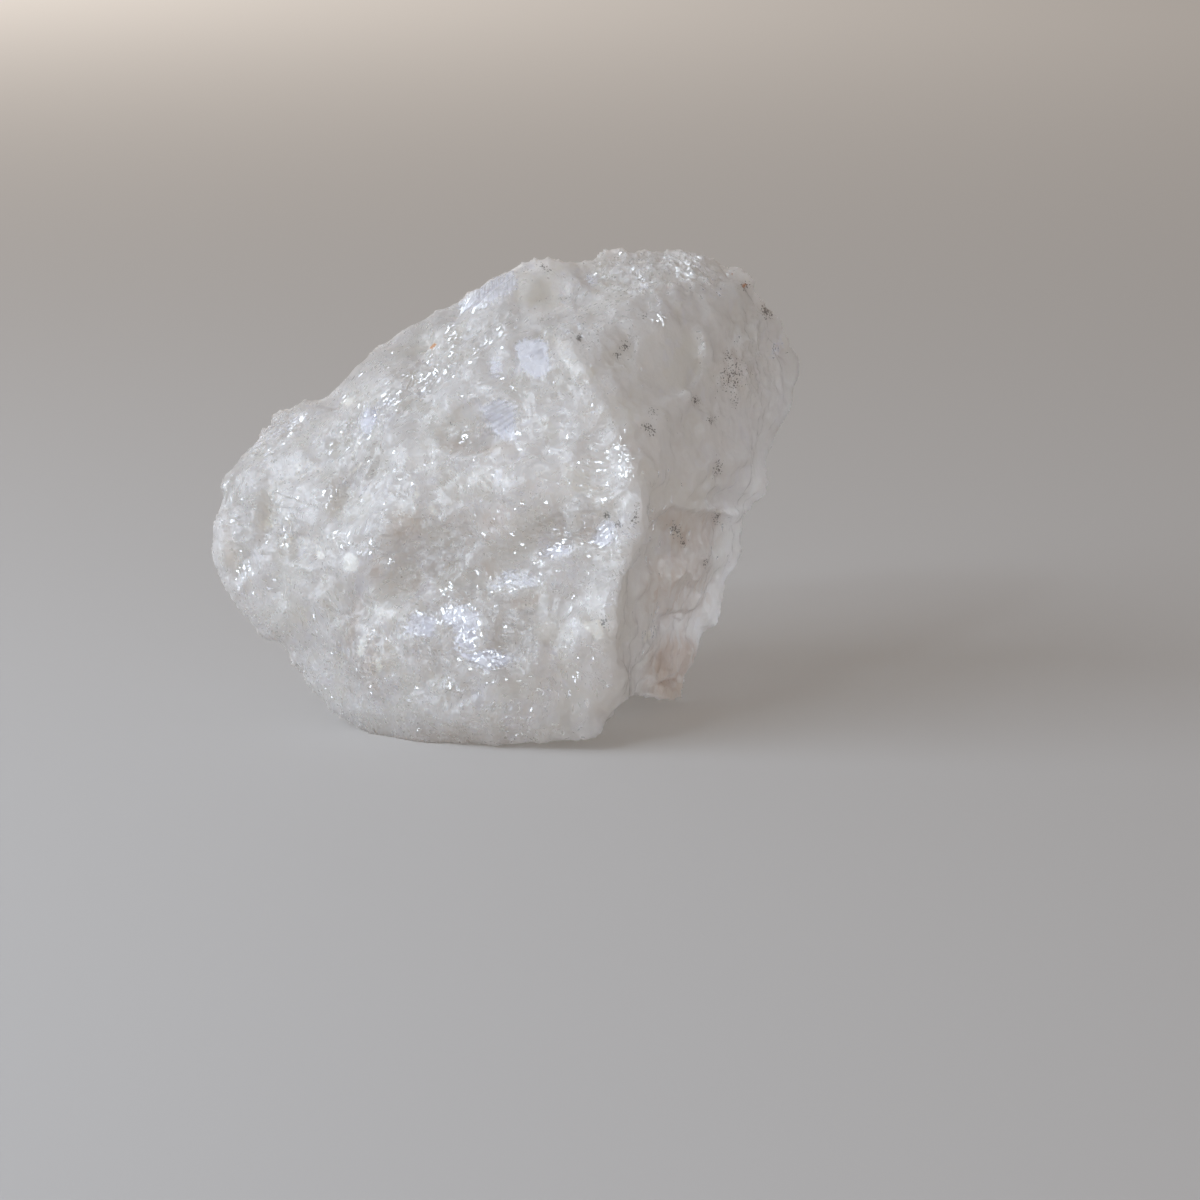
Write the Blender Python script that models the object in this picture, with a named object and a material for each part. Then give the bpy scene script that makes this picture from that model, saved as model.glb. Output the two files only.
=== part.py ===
# Raw quartz crystal: one broken chunk of milky quartz, modelled as one solid.
#
# The chunk is described as it is seen from the front. A front point is given by three sizes in
# millimetres: how far right and how far up it shows from the middle of the chunk, and how far it
# lies behind the upright plane through that middle. The front and back skins share one outline.

import math

import bmesh
import bpy
import numpy as np
from mathutils import Vector, noise
from mathutils.geometry import delaunay_2d_cdt
from mathutils.kdtree import KDTree

MM = 0.001

# Driving dimensions, in millimetres and degrees
VIEW_TILT = 14.0  # the front view looks down on the chunk by this much
VIEW_DISTANCE = 416.7  # from the eye to the plane through the chunk's middle
VIEW_AXIS = (12.0, -12.5)  # where the line of sight meets that plane, right and up
MIDDLE = (-0.33, -6.96, 27.8)  # the chunk's middle, seen from the origin under it

# Outline of the chunk, counter-clockwise from the knob at the left tip: right, up, back
LEFT_TIP = [(-35.6, 2.1, 6), (-35.1, 0.8, 5), (-36.2, -2.8, 4), (-36.4, -7.0, 3), (-35.6, -9.6, 3)]
LEFT_UNDERSIDE = [
    (-34.0, -12.5, 3), (-32.0, -14.5, 3), (-30.2, -16.8, 3), (-28.0, -17.8, 3),
    (-26.2, -20.0, 3), (-23.5, -23.8, 2), (-20.5, -27.2, 0), (-16.5, -29.2, -2),
]
FRONT_FOOT = [
    (-13.0, -30.5, -4), (-8.4, -30.5, -6), (-3.8, -30.1, -7), (-1.4, -30.6, -8),
    (3.2, -30.2, -9), (9.1, -30.0, -10), (11.5, -29.8, -10), (12.5, -27.9, -10),
    (12.9, -27.1, -9), (14.6, -25.5, -9), (15.4, -24.8, -8),
]
BACK_FOOT = [
    (16.2, -24.4, 2), (18.2, -24.7, 6), (21.0, -25.2, 8), (22.4, -24.6, 9), (22.8, -22.9, 10),
]
RIGHT_SIDE = [
    (23.8, -19.6, 11), (24.2, -17.8, 12), (25.0, -16.4, 12), (26.4, -15.5, 12),
    (26.9, -13.8, 12), (27.5, -10.1, 12), (29.0, -7.8, 12), (29.6, -6.1, 12),
    (29.4, -4.0, 12), (29.5, -2.9, 12), (30.0, -1.4, 11), (31.8, 0.0, 11),
    (32.9, 1.6, 10), (32.9, 5.0, 10), (34.0, 8.5, 10), (35.9, 11.5, 11),
    (36.6, 15.0, 12), (36.6, 17.5, 12), (35.5, 20.4, 12), (33.6, 23.9, 11),
]
TOP = [
    (31.5, 26.1, 10), (31.1, 27.5, 9), (30.0, 28.8, 9), (27.9, 29.2, 9), (26.6, 30.1, 8),
    (23.5, 30.9, 8), (21.5, 31.1, 8), (18.2, 30.9, 8), (13.2, 31.4, 8), (12.0, 31.2, 7),
    (10.9, 30.1, 5), (7.1, 29.8, 3), (5.5, 30.4, 3), (4.1, 29.9, 3), (-0.4, 28.0, 4),
]
LEFT_SHOULDER = [
    (-4.8, 26.0, 5), (-7.5, 24.1, 5), (-10.0, 22.8, 6), (-15.5, 19.5, 7), (-19.4, 16.1, 8),
    (-22.2, 13.0, 8), (-25.5, 11.9, 8), (-28.6, 9.9, 8), (-31.9, 6.6, 7), (-33.1, 5.8, 7),
    (-33.5, 4.5, 6), (-34.4, 3.1, 6),
]
OUTLINE = (
    LEFT_TIP + LEFT_UNDERSIDE + FRONT_FOOT + BACK_FOOT + RIGHT_SIDE + TOP + LEFT_SHOULDER
)

# Crests of the front: each list is a sharp line that the skin breaks along
RIDGE = [
    (6.9, 20.5, -7), (10.0, 16.0, -11), (12.8, 11.5, -13.5), (15.2, 6.0, -15), (16.8, 1.2, -16),
    (17.1, -2.5, -16), (16.2, -5.6, -15), (15.0, -10.0, -15), (14.4, -16.2, -14),
    (13.5, -22.5, -12),
]
RECESS = [
    (18.2, 0.0, -11.5), (18.0, -3.8, -9), (17.0, -7.5, -8.5), (16.0, -12.5, -8),
    (15.5, -18.8, -6), (15.6, -23.4, -4),
]
SHOULDER_CREST = [
    (-4.2, 20.6, -2.5), (-10.5, 17.2, -2), (-16.8, 12.8, -1), (-22.4, 9.0, 0.5),
    (-27.4, 5.6, 1.5), (-31.8, 2.8, 3),
]
BROW = [
    (-16.8, -3.8, -6.5), (-10.5, -3.1, -8.5), (-4.2, -1.2, -10.5), (3.2, -1.2, -12),
    (10.8, -0.6, -14),
]
LEDGE_BACK = [(-12.4, -11.9, -5.5), (-6.8, -11.2, -7), (0.8, -11.2, -9), (7.6, -12.5, -11)]
LEDGE_FRONT = [
    (-13.0, -15.6, -8), (-7.4, -17.5, -11), (-1.8, -21.0, -13.5), (3.9, -19.4, -13.5),
    (9.5, -17.5, -14),
]
CHEEK_TOP = [(-32.4, -7.5, 1), (-25.5, -6.6, -1.5), (-19.2, -10.0, -4.5)]
CHEEK_SIDE = [(-19.2, -10.0, -4.5), (-19.0, -17.5, -5), (-16.5, -24.4, -4.5)]
STEP_TOP = [(19.5, 0.6, -10), (24.5, 1.0, -5), (29.8, 2.2, 3)]
STEP_FOOT = [(19.8, -1.2, -8), (24.8, -1.0, -3), (28.6, -1.7, 4.8)]
PIT_LIP = [(-8.0, 6.6, -8.5), (-5.8, 5.6, -10), (-1.8, 6.2, -11), (2.0, 7.8, -11.5)]
STRIPED_CHIP = [(-2.1, 25.2, 0.5), (1.9, 27.8, 0.0), (2.6, 23.8, -3.5)]
CRESTS = [
    RIDGE, RECESS, SHOULDER_CREST, BROW, LEDGE_BACK, LEDGE_FRONT, CHEEK_TOP, CHEEK_SIDE,
    STEP_TOP, STEP_FOOT, PIT_LIP, STRIPED_CHIP,
]

# Single points of the front skin between the crests
RIGHT_FACE = [
    (12.6, 25.0, -3), (17.0, 26.9, -1), (23.2, 28.1, 1), (28.9, 26.2, 4), (18.2, 22.5, -5),
    (15.5, 16.9, -9), (17.0, 13.1, -10), (21.0, 11.6, -7), (26.0, 14.4, -2), (25.1, 20.6, -2),
    (20.8, 17.2, -5), (29.5, 20.0, 3), (33.2, 18.8, 8), (28.9, 13.1, 2), (33.0, 12.5, 7),
    (19.5, 7.5, -9), (24.5, 6.9, -4), (29.8, 7.5, 3), (20.1, -7.5, -5), (24.5, -7.5, 1.5),
    (18.2, -13.8, -4.5), (23.2, -12.5, 4), (17.6, -18.8, -3), (22.0, -18.1, 6), (18.9, -22.8, 2),
]
UPPER_FACE = [
    (-8.0, 21.9, 1.5), (-15.5, 17.2, 3), (-24.2, 10.6, 4.5), (0.5, 20.2, -5.2), (5.8, 20.6, -6.2),
    (6.1, 15.0, -9), (1.0, 14.8, -8), (-4.2, 16.0, -5.5), (10.8, 10.0, -13), (8.2, 5.6, -13.5),
    (12.0, 3.8, -15), (-4.2, 11.9, -8.5), (2.2, 12.5, -10), (-3.0, 8.6, -7), (-13.0, 9.4, -5),
    (-18.0, 6.2, -4), (-24.9, 1.9, -1.5), (-19.9, 0.0, -4), (-14.2, 1.2, -6.5),
    (-9.2, 1.2, -8.5), (-0.5, 2.5, -12), (5.8, 1.2, -13.5), (-33.0, -1.2, 2.5),
    (-29.2, -2.5, 0),
]
LOWER_FACE = [
    (-13.0, -8.8, -5), (-6.8, -7.5, -7), (0.8, -7.5, -8.5), (7.0, -6.9, -10.5),
    (12.0, -6.2, -13.5), (-14.9, -21.2, -7), (-9.2, -25.0, -9.5), (-3.0, -26.2, -11.5),
    (4.5, -25.6, -12.5), (10.1, -25.0, -12.5), (-26.1, -13.8, -0.5), (-22.4, -20.0, -1),
]

# Crests of the back, and the points between them
BACK_KEEL = [(-9, 20, 15), (-6, 11, 25), (-3, 1, 31), (-1, -9, 31), (1, -19, 23)]
BACK_RIGHT_CREST = [(15, 28.5, 13), (17, 20, 24), (19, 9, 30), (18, -3, 28), (17, -14, 22)]
BACK_LEFT_CREST = [(-32, -2, 11), (-24, -3, 19), (-16, -6, 25), (-3, 1, 31)]
BACK_CRESTS = [BACK_KEEL, BACK_RIGHT_CREST, BACK_LEFT_CREST]
BACK_FACE = [
    (-28, 4, 14.5), (-27, -12, 12), (-20, 11, 16), (-22, 3, 19.5), (-22, -10, 17.5),
    (-21, -16, 12.5), (-14, 8, 22.5), (-12, -13, 22), (-14, -18, 17.5), (-15, -24, 10.5),
    (-5, -20, 20.5), (1, 25, 12), (4, 17, 23), (7, 7, 30), (8, -5, 30.5), (7, -15, 25.5),
    (8, 26.5, 12), (23, 26, 15), (26, 18, 22), (28, 9, 22), (25, 1, 20), (23, -8, 18.5),
    (20, -17, 17.5), (32, 22, 16), (31, 12, 17),
]

# The flat break that the chunk stands on: right and back from the chunk's middle
BASE = [
    (-10, -8.5), (-1, -10), (8, -9.5), (10.5, -5), (12, 2), (14.3, 9), (17, 12.5), (20, 11),
    (21.3, 13), (15, 16), (4, 14), (-6, 11), (-12, 5), (-13, -3),
]

# How the surface is worked, in millimetres
EDGE_CHAMFER = 1.3  # the rim's edge turns over within this distance
TURN_DEPTH = 1.1  # and by this much in depth
TURN_ROOM = 0.7  # share of the chamfer that its inner points keep clear of the rim
CUTS = 5  # new vertices along each edge of the blockout
SOFTENING = 14  # smoothing passes between the crests
SKIN_SOFTNESS = 0.6  # share of each pass that moves the skin between the crests
CREST_SOFTNESS = 0.04  # and the share that moves a crest
FLAKES = [(10.0, 0.34, 11), (5.0, 0.26, 27)]  # size of the flake scars, slope and their order
FLAKE_SHIFT = (1.0, 2.3, 5.1)  # how one order of flakes lies from the next, in flakes
FLAKE_EDGE = 24  # how sharply one flake gives way to the next
TILT_SPREAD = 3.7  # how far apart two neighbouring flakes read their tilt
TILT_STARTS = [(0, 0, 0), (31.4, 7.7, 2.9), (5.2, 47.1, 19.3)]  # where each part of it is read
GRAIN = [(2.6, 0.13)]  # size of the bumps and their height
BASE_EDGE = 0.6  # height over which the bumps fade out above the base
RIM_BAND = 3.0  # width of the band along the outline where the flakes are lower
RIM_SHARE = 0.2  # and their share right on the outline
TRIANGLES = 8400
FLAT_BAND = 0.12  # what lies lower than this becomes part of the flat base
FACING_GAIN = 4  # how soon a scar reaches its full depth as the skin turns to the front

# Scars of single blows on the front: right, up, half width, half height, turn in degrees,
# depth, and the direction in degrees in which the scar is deepest
SCAR_WAVER = 0.12  # how far a scar's edge wanders, as a share of its reach
SCAR_WAVES = 0.7  # how often it wanders, per millimetre
SCAR_LIP = 6  # the higher, the steeper the scar's edge
SCAR_LEVEL = 0.55  # share of the depth in the scar's middle
SCAR_SLANT = 0.45  # share that the deep side adds and the shallow side loses
SCARS = [
    (-3.0, 9.2, 4.6, 3.5, 8, 2.0, -80),
    (20.8, 17.6, 4.7, 4.5, 0, 1.0, -30),
    (5.6, -4.9, 4.3, 2.5, 12, 1.3, 60),
    (-4.2, -16.4, 8.3, 4.4, -10, 1.6, -75),
    (0.8, -20.0, 2.8, 1.9, 25, 1.0, -60),
    (11.6, 2.8, 3.4, 3.0, 20, 0.8, -30),
    (-18.6, 3.2, 3.0, 4.6, 10, 0.9, 170),
    (-26.0, -4.6, 4.2, 2.6, -15, 0.8, -60),
    (-33.4, -7.6, 2.0, 2.6, 0, 0.7, -10),
    (-28.6, -12.0, 2.6, 1.8, -35, 0.7, 90),
    (3.6, 18.0, 3.0, 3.6, -20, 0.7, 120),
    (2.3, -9.7, 3.2, 1.6, 0, 0.8, 80),
    (-11.6, -24.6, 3.4, 2.2, 15, 0.8, 100),
    (22.4, 28.2, 3.6, 2.0, 10, 0.8, -90),
    (14.8, 28.4, 2.4, 1.8, -10, 0.6, -60),
    (27.6, 9.2, 3.2, 4.6, -20, 0.7, 0),
    (21.4, -5.4, 3.6, 2.8, -20, 1.0, 150),
    (19.8, -16.0, 2.2, 4.2, -10, 0.7, 180),
    (-9.4, 18.9, 3.4, 1.7, 33, 0.7, 120),
    (-25.4, 8.6, 3.2, 1.6, 38, 0.6, 120),
]

# Colour of the raw milky quartz
QUARTZ_COLOUR = (0.80, 0.79, 0.77, 1.0)
QUARTZ_ROUGHNESS = 0.25
QUARTZ_IOR = 1.544


def view_axes():
    """The front view's own directions: right, up and away from the eye."""
    tilt = math.radians(VIEW_TILT)
    right = Vector((1, 0, 0))
    up = Vector((0, math.sin(tilt), math.cos(tilt)))
    away = Vector((0, math.cos(tilt), -math.sin(tilt)))
    return right, up, away


def seen(across, height, back):
    """The place of a point that shows at (across, height) in the front view, in millimetres."""
    right, up, away = view_axes()
    spread = 1 + back / VIEW_DISTANCE
    x = VIEW_AXIS[0] + (across - VIEW_AXIS[0]) * spread
    y = VIEW_AXIS[1] + (height - VIEW_AXIS[1]) * spread
    return right * x + up * y + away * back + Vector(MIDDLE)


def shown(place):
    """Where a place shows in the front view: the reverse of seen(), without the depth."""
    right, up, away = view_axes()
    offset = place - Vector(MIDDLE)
    spread = 1 + offset.dot(away) / VIEW_DISTANCE
    x = VIEW_AXIS[0] + (offset.dot(right) - VIEW_AXIS[0]) / spread
    y = VIEW_AXIS[1] + (offset.dot(up) - VIEW_AXIS[1]) / spread
    return Vector((x, y))


def turned_edge(outline, distance, depth):
    """Points just inside the outline, so that each skin turns over before it meets the rim."""
    inner = []
    count = len(outline)
    for i, (across, height, back) in enumerate(outline):
        before = outline[i - 1]
        after = outline[(i + 1) % count]
        along = Vector((after[0] - before[0], after[1] - before[1])).normalized()
        x = across - along.y * distance
        y = height + along.x * distance
        near = min(math.hypot(x - p[0], y - p[1]) for p in outline)
        if near > TURN_ROOM * distance:
            inner.append(seen(x, y, back + depth))
    return inner


def within(place, loop):
    """Whether a place shows inside a closed loop of places in the front view."""
    spot = shown(place)
    corners = [shown(corner) for corner in loop]
    crossings = 0
    for a, b in zip(corners, corners[1:] + corners[:1]):
        if (a.y > spot.y) != (b.y > spot.y):
            crossings += spot.x < a.x + (b.x - a.x) * (spot.y - a.y) / (b.y - a.y)
    return crossings % 2 == 1


def skin(rim, inner, lines):
    """Triangles between the rim and the inner places, with every line kept as mesh edges."""
    places = list(rim)
    edges = [(i, (i + 1) % len(rim)) for i in range(len(rim))]
    known = {tuple(p): i for i, p in enumerate(places)}

    def index(place):
        if tuple(place) not in known:
            known[tuple(place)] = len(places)
            places.append(place)
        return known[tuple(place)]

    for line in lines:
        ends = [index(place) for place in line]
        edges += list(zip(ends, ends[1:]))
    for place in inner:
        index(place)
    flat = [shown(place) for place in places]
    made = delaunay_2d_cdt(flat, edges, [list(range(len(rim)))], 1, 1e-5)
    order = [originals[0] for originals in made[3]]
    faces = [[order[i] for i in face] for face in made[2]]
    return places, faces, edges


def add_skin(bm, corner, rim, inner, lines, flip):
    """Adds one skin to the mesh; the rim's corners are shared with the other skin."""
    places, faces, edges = skin(rim, inner, lines)
    verts = []
    for place in places:
        key = tuple(round(c, 5) for c in place)
        if key not in corner:
            corner[key] = bm.verts.new(place)
        verts.append(corner[key])
    for face in faces:
        loop = [verts[i] for i in face]
        bm.faces.new(reversed(loop) if flip else loop)
    return [(verts[a], verts[b]) for a, b in edges]


def blockout():
    """The chunk's main forms as a closed low mesh, with its crests marked sharp."""
    bm = bmesh.new()
    corner = {}
    rim = [seen(*p) for p in OUTLINE]
    crests = [[seen(*p) for p in line] for line in CRESTS]
    front = [seen(*p) for p in RIGHT_FACE + UPPER_FACE + LOWER_FACE]
    front += turned_edge(OUTLINE, EDGE_CHAMFER, -TURN_DEPTH)
    back = [seen(*p) for p in BACK_FACE]
    back += turned_edge(OUTLINE, EDGE_CHAMFER, TURN_DEPTH)
    base = [Vector((x + MIDDLE[0], y + MIDDLE[1], 0)) for x, y in BASE]
    back = [place for place in back if not within(place, base)]
    back_crests = [[seen(*p) for p in line] for line in BACK_CRESTS]
    sharp = add_skin(bm, corner, rim, front, crests, False)
    sharp += add_skin(bm, corner, rim, back, back_crests + [base + base[:1]], True)
    rim_verts = {corner[tuple(round(c, 5) for c in place)] for place in rim}
    for a, b in sharp:
        edge = bm.edges.get((a, b))
        edge.smooth = False
        edge.seam = a in rim_verts and b in rim_verts
    for vert in bm.verts:
        vert.co.z = max(vert.co.z, 0)
    bmesh.ops.recalc_face_normals(bm, faces=bm.faces)
    return bm


def refine(bm):
    """Cuts every edge into short ones, the crests too, and leaves only triangles."""
    bmesh.ops.subdivide_edges(bm, edges=bm.edges[:], cuts=CUTS, use_grid_fill=True)
    bmesh.ops.triangulate(bm, faces=bm.faces[:])
    bm.verts.index_update()


def soften(bm):
    """Rounds the skin between the crests; crests hardly move and the base not at all."""
    bm.normal_update()
    share = []
    for vert in bm.verts:
        crest = any(not edge.smooth for edge in vert.link_edges)
        base = any(f.normal.z < -0.99 and abs(f.calc_center_median().z) < 1e-4
                   for f in vert.link_faces)
        share.append(0.0 if base else CREST_SOFTNESS if crest else SKIN_SOFTNESS)
    share = np.array(share)
    place = np.array([vert.co[:] for vert in bm.verts])
    ends = np.array([[v.index for v in edge.verts] for edge in bm.edges])
    count = np.bincount(ends.ravel(), minlength=len(place))
    for _ in range(SOFTENING):
        total = np.zeros_like(place)
        np.add.at(total, ends[:, 0], place[ends[:, 1]])
        np.add.at(total, ends[:, 1], place[ends[:, 0]])
        place += (total / count[:, None] - place) * share[:, None]
    for vert, new in zip(bm.verts, place):
        vert.co = new
    return share


def cell_tilt(centre):
    """The tilt of one cell of the flake pattern, from the place of its centre."""
    spot = centre * TILT_SPREAD
    return Vector([noise.noise(spot + Vector(start)) for start in TILT_STARTS])


def flake_height(place, size, slope, order):
    """Height of overlapping flake scars: each cell of the pattern is tilted its own way."""
    spot = place / size + Vector(FLAKE_SHIFT) * order
    distances, centres = noise.voronoi(spot)
    total = 0.0
    weight = 0.0
    for distance, centre in zip(distances, centres):
        share = math.exp(-FLAKE_EDGE * (distance - distances[0]))
        tilt = cell_tilt(centre)
        total += share * tilt.dot(spot - centre)
        weight += share
    return total / weight * slope * size


def surface_height(place):
    place = place - Vector(MIDDLE)
    height = sum(flake_height(place, *flake) for flake in FLAKES)
    for size, amount in GRAIN:
        height += noise.noise(place / size) * amount
    return height


def scar_depth(spot, across, height, half_width, half_height, turn, depth, deepest):
    """How deep one blow's scar is at a spot of the front view: it feathers out on one side
    and ends in a steep lip on the other."""
    turn = math.radians(turn)
    x = spot.x - across
    y = spot.y - height
    u = (x * math.cos(turn) + y * math.sin(turn)) / half_width
    v = (y * math.cos(turn) - x * math.sin(turn)) / half_height
    waver = SCAR_WAVER * noise.noise(Vector((x, y, depth)) * SCAR_WAVES)
    reach = math.hypot(u, v) * (1 + waver)
    if reach >= 1:
        return 0.0
    angle = math.radians(deepest) - turn
    side = u * math.cos(angle) + v * math.sin(angle)
    return depth * (1 - reach ** SCAR_LIP) * (SCAR_LEVEL + SCAR_SLANT * side)


def rim_tree(bm):
    """A search tree of the rim's corners, to tell how far a place is from the outline."""
    rim = [vert.co for vert in bm.verts if any(edge.seam for edge in vert.link_edges)]
    tree = KDTree(len(rim))
    for i, place in enumerate(rim):
        tree.insert(place, i)
    tree.balance()
    return tree


def chip(bm, share):
    """Lays the flakes, the grain and the front's scars on the skin; the base stays flat, and
    the rim keeps the outline."""
    bm.normal_update()
    away = view_axes()[2]
    tree = rim_tree(bm)
    moves = []
    for vert, part in zip(bm.verts, share):
        fade = min(max(vert.co.z / BASE_EDGE, 0), 1) if part else 0.0
        inside = min(tree.find(vert.co)[2] / RIM_BAND, 1)
        move = vert.normal * surface_height(vert.co) * (RIM_SHARE + (1 - RIM_SHARE) * inside)
        facing = min(max(-vert.normal.dot(away) * FACING_GAIN, 0), 1)
        if facing:
            spot = shown(vert.co)
            move += away * facing * sum(scar_depth(spot, *scar) for scar in SCARS)
        moves.append(move * fade)
    for vert, move in zip(bm.verts, moves):
        vert.co += move
        vert.co.z = max(vert.co.z, 0)


def thinned(chunk):
    """The chunk with large triangles where it is flat and small ones at its edges."""
    thin = chunk.modifiers.new("thin", "DECIMATE")
    thin.ratio = TRIANGLES / len(chunk.data.polygons)
    depsgraph = bpy.context.evaluated_depsgraph_get()
    mesh = bpy.data.meshes.new_from_object(chunk.evaluated_get(depsgraph))
    chunk.modifiers.remove(thin)
    mesh.name = "quartz_crystal"
    return mesh


def settle(mesh):
    for vert in mesh.vertices:
        if vert.co.z < FLAT_BAND * MM:
            vert.co.z = 0


def quartz_material():
    material = bpy.data.materials.new("quartz")
    material.use_nodes = True
    shader = material.node_tree.nodes["Principled BSDF"]
    shader.inputs["Base Color"].default_value = QUARTZ_COLOUR
    shader.inputs["Roughness"].default_value = QUARTZ_ROUGHNESS
    shader.inputs["Metallic"].default_value = 0.0
    shader.inputs["IOR"].default_value = QUARTZ_IOR
    return material


def main():
    for obj in list(bpy.data.objects):
        bpy.data.objects.remove(obj)
    bm = blockout()
    refine(bm)
    share = soften(bm)
    chip(bm, share)
    for vert in bm.verts:
        vert.co *= MM
    mesh = bpy.data.meshes.new("quartz_grid")
    bm.to_mesh(mesh)
    bm.free()
    chunk = bpy.data.objects.new("quartz_crystal", mesh)
    bpy.context.scene.collection.objects.link(chunk)
    chunk.data = thinned(chunk)
    settle(chunk.data)
    chunk.data.materials.append(quartz_material())


main()
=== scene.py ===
import math

import bpy
import numpy as np
from mathutils import Matrix, Vector


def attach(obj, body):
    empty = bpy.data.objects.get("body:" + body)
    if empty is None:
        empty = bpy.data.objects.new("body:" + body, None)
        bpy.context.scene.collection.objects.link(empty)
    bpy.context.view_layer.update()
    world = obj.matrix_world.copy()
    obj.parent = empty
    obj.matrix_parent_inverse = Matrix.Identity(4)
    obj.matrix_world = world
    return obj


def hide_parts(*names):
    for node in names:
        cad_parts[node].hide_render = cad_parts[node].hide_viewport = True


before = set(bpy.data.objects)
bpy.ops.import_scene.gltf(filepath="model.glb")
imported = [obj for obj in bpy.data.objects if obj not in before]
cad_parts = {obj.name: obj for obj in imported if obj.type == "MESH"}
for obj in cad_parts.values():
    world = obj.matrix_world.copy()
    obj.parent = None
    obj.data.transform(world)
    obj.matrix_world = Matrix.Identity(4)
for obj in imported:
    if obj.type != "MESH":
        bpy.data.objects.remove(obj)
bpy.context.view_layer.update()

mm = 0.001

# the photograph's view: millimetres across and up from the middle of the stone
view = {
    "tilt": 14.0,  # degrees that the camera looks down
    "distance": 416.7,  # mm from the lens to the plane through the middle
    "axis": (12.0, -12.5),  # where the line of sight meets that plane
    "middle": (-0.33, -6.96, 27.8),  # the stone's middle, from the origin
    "lens": 100.0,
    "sensor": 36.0,
}

tilt = math.radians(view["tilt"])
viewRight = np.array((1.0, 0.0, 0.0))
viewUp = np.array((0.0, math.sin(tilt), math.cos(tilt)))
viewAway = np.array((0.0, math.cos(tilt), -math.sin(tilt)))
viewMiddle = np.array(view["middle"])
viewAxis = np.array(view["axis"])
eye = viewMiddle + viewRight * viewAxis[0] + viewUp * viewAxis[1] - viewAway * view["distance"]


def shownAt(places):
    # where places (mm) show in the photograph's view
    offset = places - viewMiddle
    spread = 1 + offset @ viewAway / view["distance"]
    flat = np.stack((offset @ viewRight, offset @ viewUp), axis=1)
    return viewAxis + (flat - viewAxis) / spread[:, None]


def facingAt(normals, low=0.0, high=0.2):
    # from 0 where the surface turns away from the photograph's view to 1 where it faces it
    return smoothStep(-(normals @ viewAway), low, high)


def rightAt(normals):
    return smoothStep(normals[:, 0], 0.0, 0.5)


# noise in numpy, all from one seeded block of numbers
latticeSize = 32
lattice = np.random.default_rng(41).random((latticeSize, latticeSize, latticeSize, 4))
farAway = 1e9


def latticeAt(cells):
    i, j, k = (cells % latticeSize).astype(int).T
    return lattice[i, j, k]


def softNoise(places, size, shift=0.0):
    # smooth noise from -1 to 1 with bumps of about that size
    spot = places / size + shift
    base = np.floor(spot)
    part = spot - base
    part = part * part * (3 - 2 * part)
    total = 0.0
    for corner in np.ndindex(2, 2, 2):
        corner = np.array(corner)
        weight = np.prod(np.where(corner, part, 1 - part), axis=1)
        total = total + weight * latticeAt(base + corner)[:, 3]
    return total * 2 - 1


def layeredNoise(places, size, layers=3, shift=0.0):
    total = 0.0
    for layer in range(layers):
        # 7.3 cells on, so that the layers don't line up
        total = total + softNoise(places, size / 2 ** layer, shift + 7.3 * layer) / 2 ** layer
    return total / (2 - 2 ** (1 - layers))


def flakes(places, size, lean, bowl, shift=0.0):
    # flat scars of about that size that meet in sharp crests, each leaning its own way
    spot = places / size + shift
    base = np.floor(spot)
    low = np.full(len(spot), farAway)
    for step in np.ndindex(3, 3, 3):
        cell = base + np.array(step) - 1
        random = latticeAt(cell)
        away = spot - (cell + random[:, :3])
        slope = (latticeAt(cell + 11)[:, :3] - 0.5) * 2 * lean  # from cells further on, to be free of the places
        low = np.minimum(low, bowl * (away ** 2).sum(1) + (away * slope).sum(1) + 0.35 * random[:, 3])
    return (low - 0.2) * size  # 0.2 is about the middle of what low reaches


def domains(places, size, shift=0.0):
    # a random number for each broken patch of about that size
    spot = places / size + shift
    base = np.floor(spot)
    near = np.full(len(spot), farAway)
    number = np.zeros(len(spot))
    for step in np.ndindex(3, 3, 3):
        cell = base + np.array(step) - 1
        random = latticeAt(cell)
        reach = ((spot - (cell + random[:, :3])) ** 2).sum(1)
        closer = reach < near
        near[closer] = reach[closer]
        number[closer] = random[closer, 3]
    return number


def sawtooth(reach, rise=0.82):
    # climbs slowly from -0.5 to 0.5 and drops back steeply
    part = reach - np.floor(reach)
    return np.where(part < rise, part / rise, (1 - part) / (1 - rise)) - 0.5


def smoothStep(value, low, high):
    part = np.clip((value - low) / (high - low), 0, 1)
    return part * part * (3 - 2 * part)


def reachIn(spots, corners):
    # mm inside a polygon of the view, less than 0 outside it
    corners = np.array(corners, float)
    near = np.full(len(spots), farAway)
    inside = np.zeros(len(spots), bool)
    for first, second in zip(corners, np.roll(corners, -1, axis=0)):
        side = second - first
        offset = spots - first
        share = np.clip((offset @ side) / (side @ side), 0, 1)
        near = np.minimum(near, np.hypot(*(offset - share[:, None] * side).T))
        crosses = (first[1] > spots[:, 1]) != (second[1] > spots[:, 1])
        at = first[0] + (spots[:, 1] - first[1]) * side[0] / (side[1] if side[1] else 1e-9)
        inside ^= crosses & (spots[:, 0] < at)
    return np.where(inside, near, -near)


def patch(spots, wobble, place):
    # from 0 outside an oval or a polygon to 1 well inside it, 0.5 on its wandering edge
    if "corners" in place:
        reach = reachIn(spots, place["corners"])
    else:
        turn = math.radians(place.get("turn", 0.0))
        offset = spots - np.array(place["at"])
        along = (offset[:, 0] * math.cos(turn) + offset[:, 1] * math.sin(turn)) / place["half"][0]
        across = (offset[:, 1] * math.cos(turn) - offset[:, 0] * math.sin(turn)) / place["half"][1]
        reach = (1 - np.hypot(along, across)) * min(place["half"])
    reach = reach + wobble * place.get("ragged", 1.0)
    return place.get("amount", 1.0) * np.clip(0.5 + reach / place.get("edge", 1.6), 0, 1)


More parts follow.
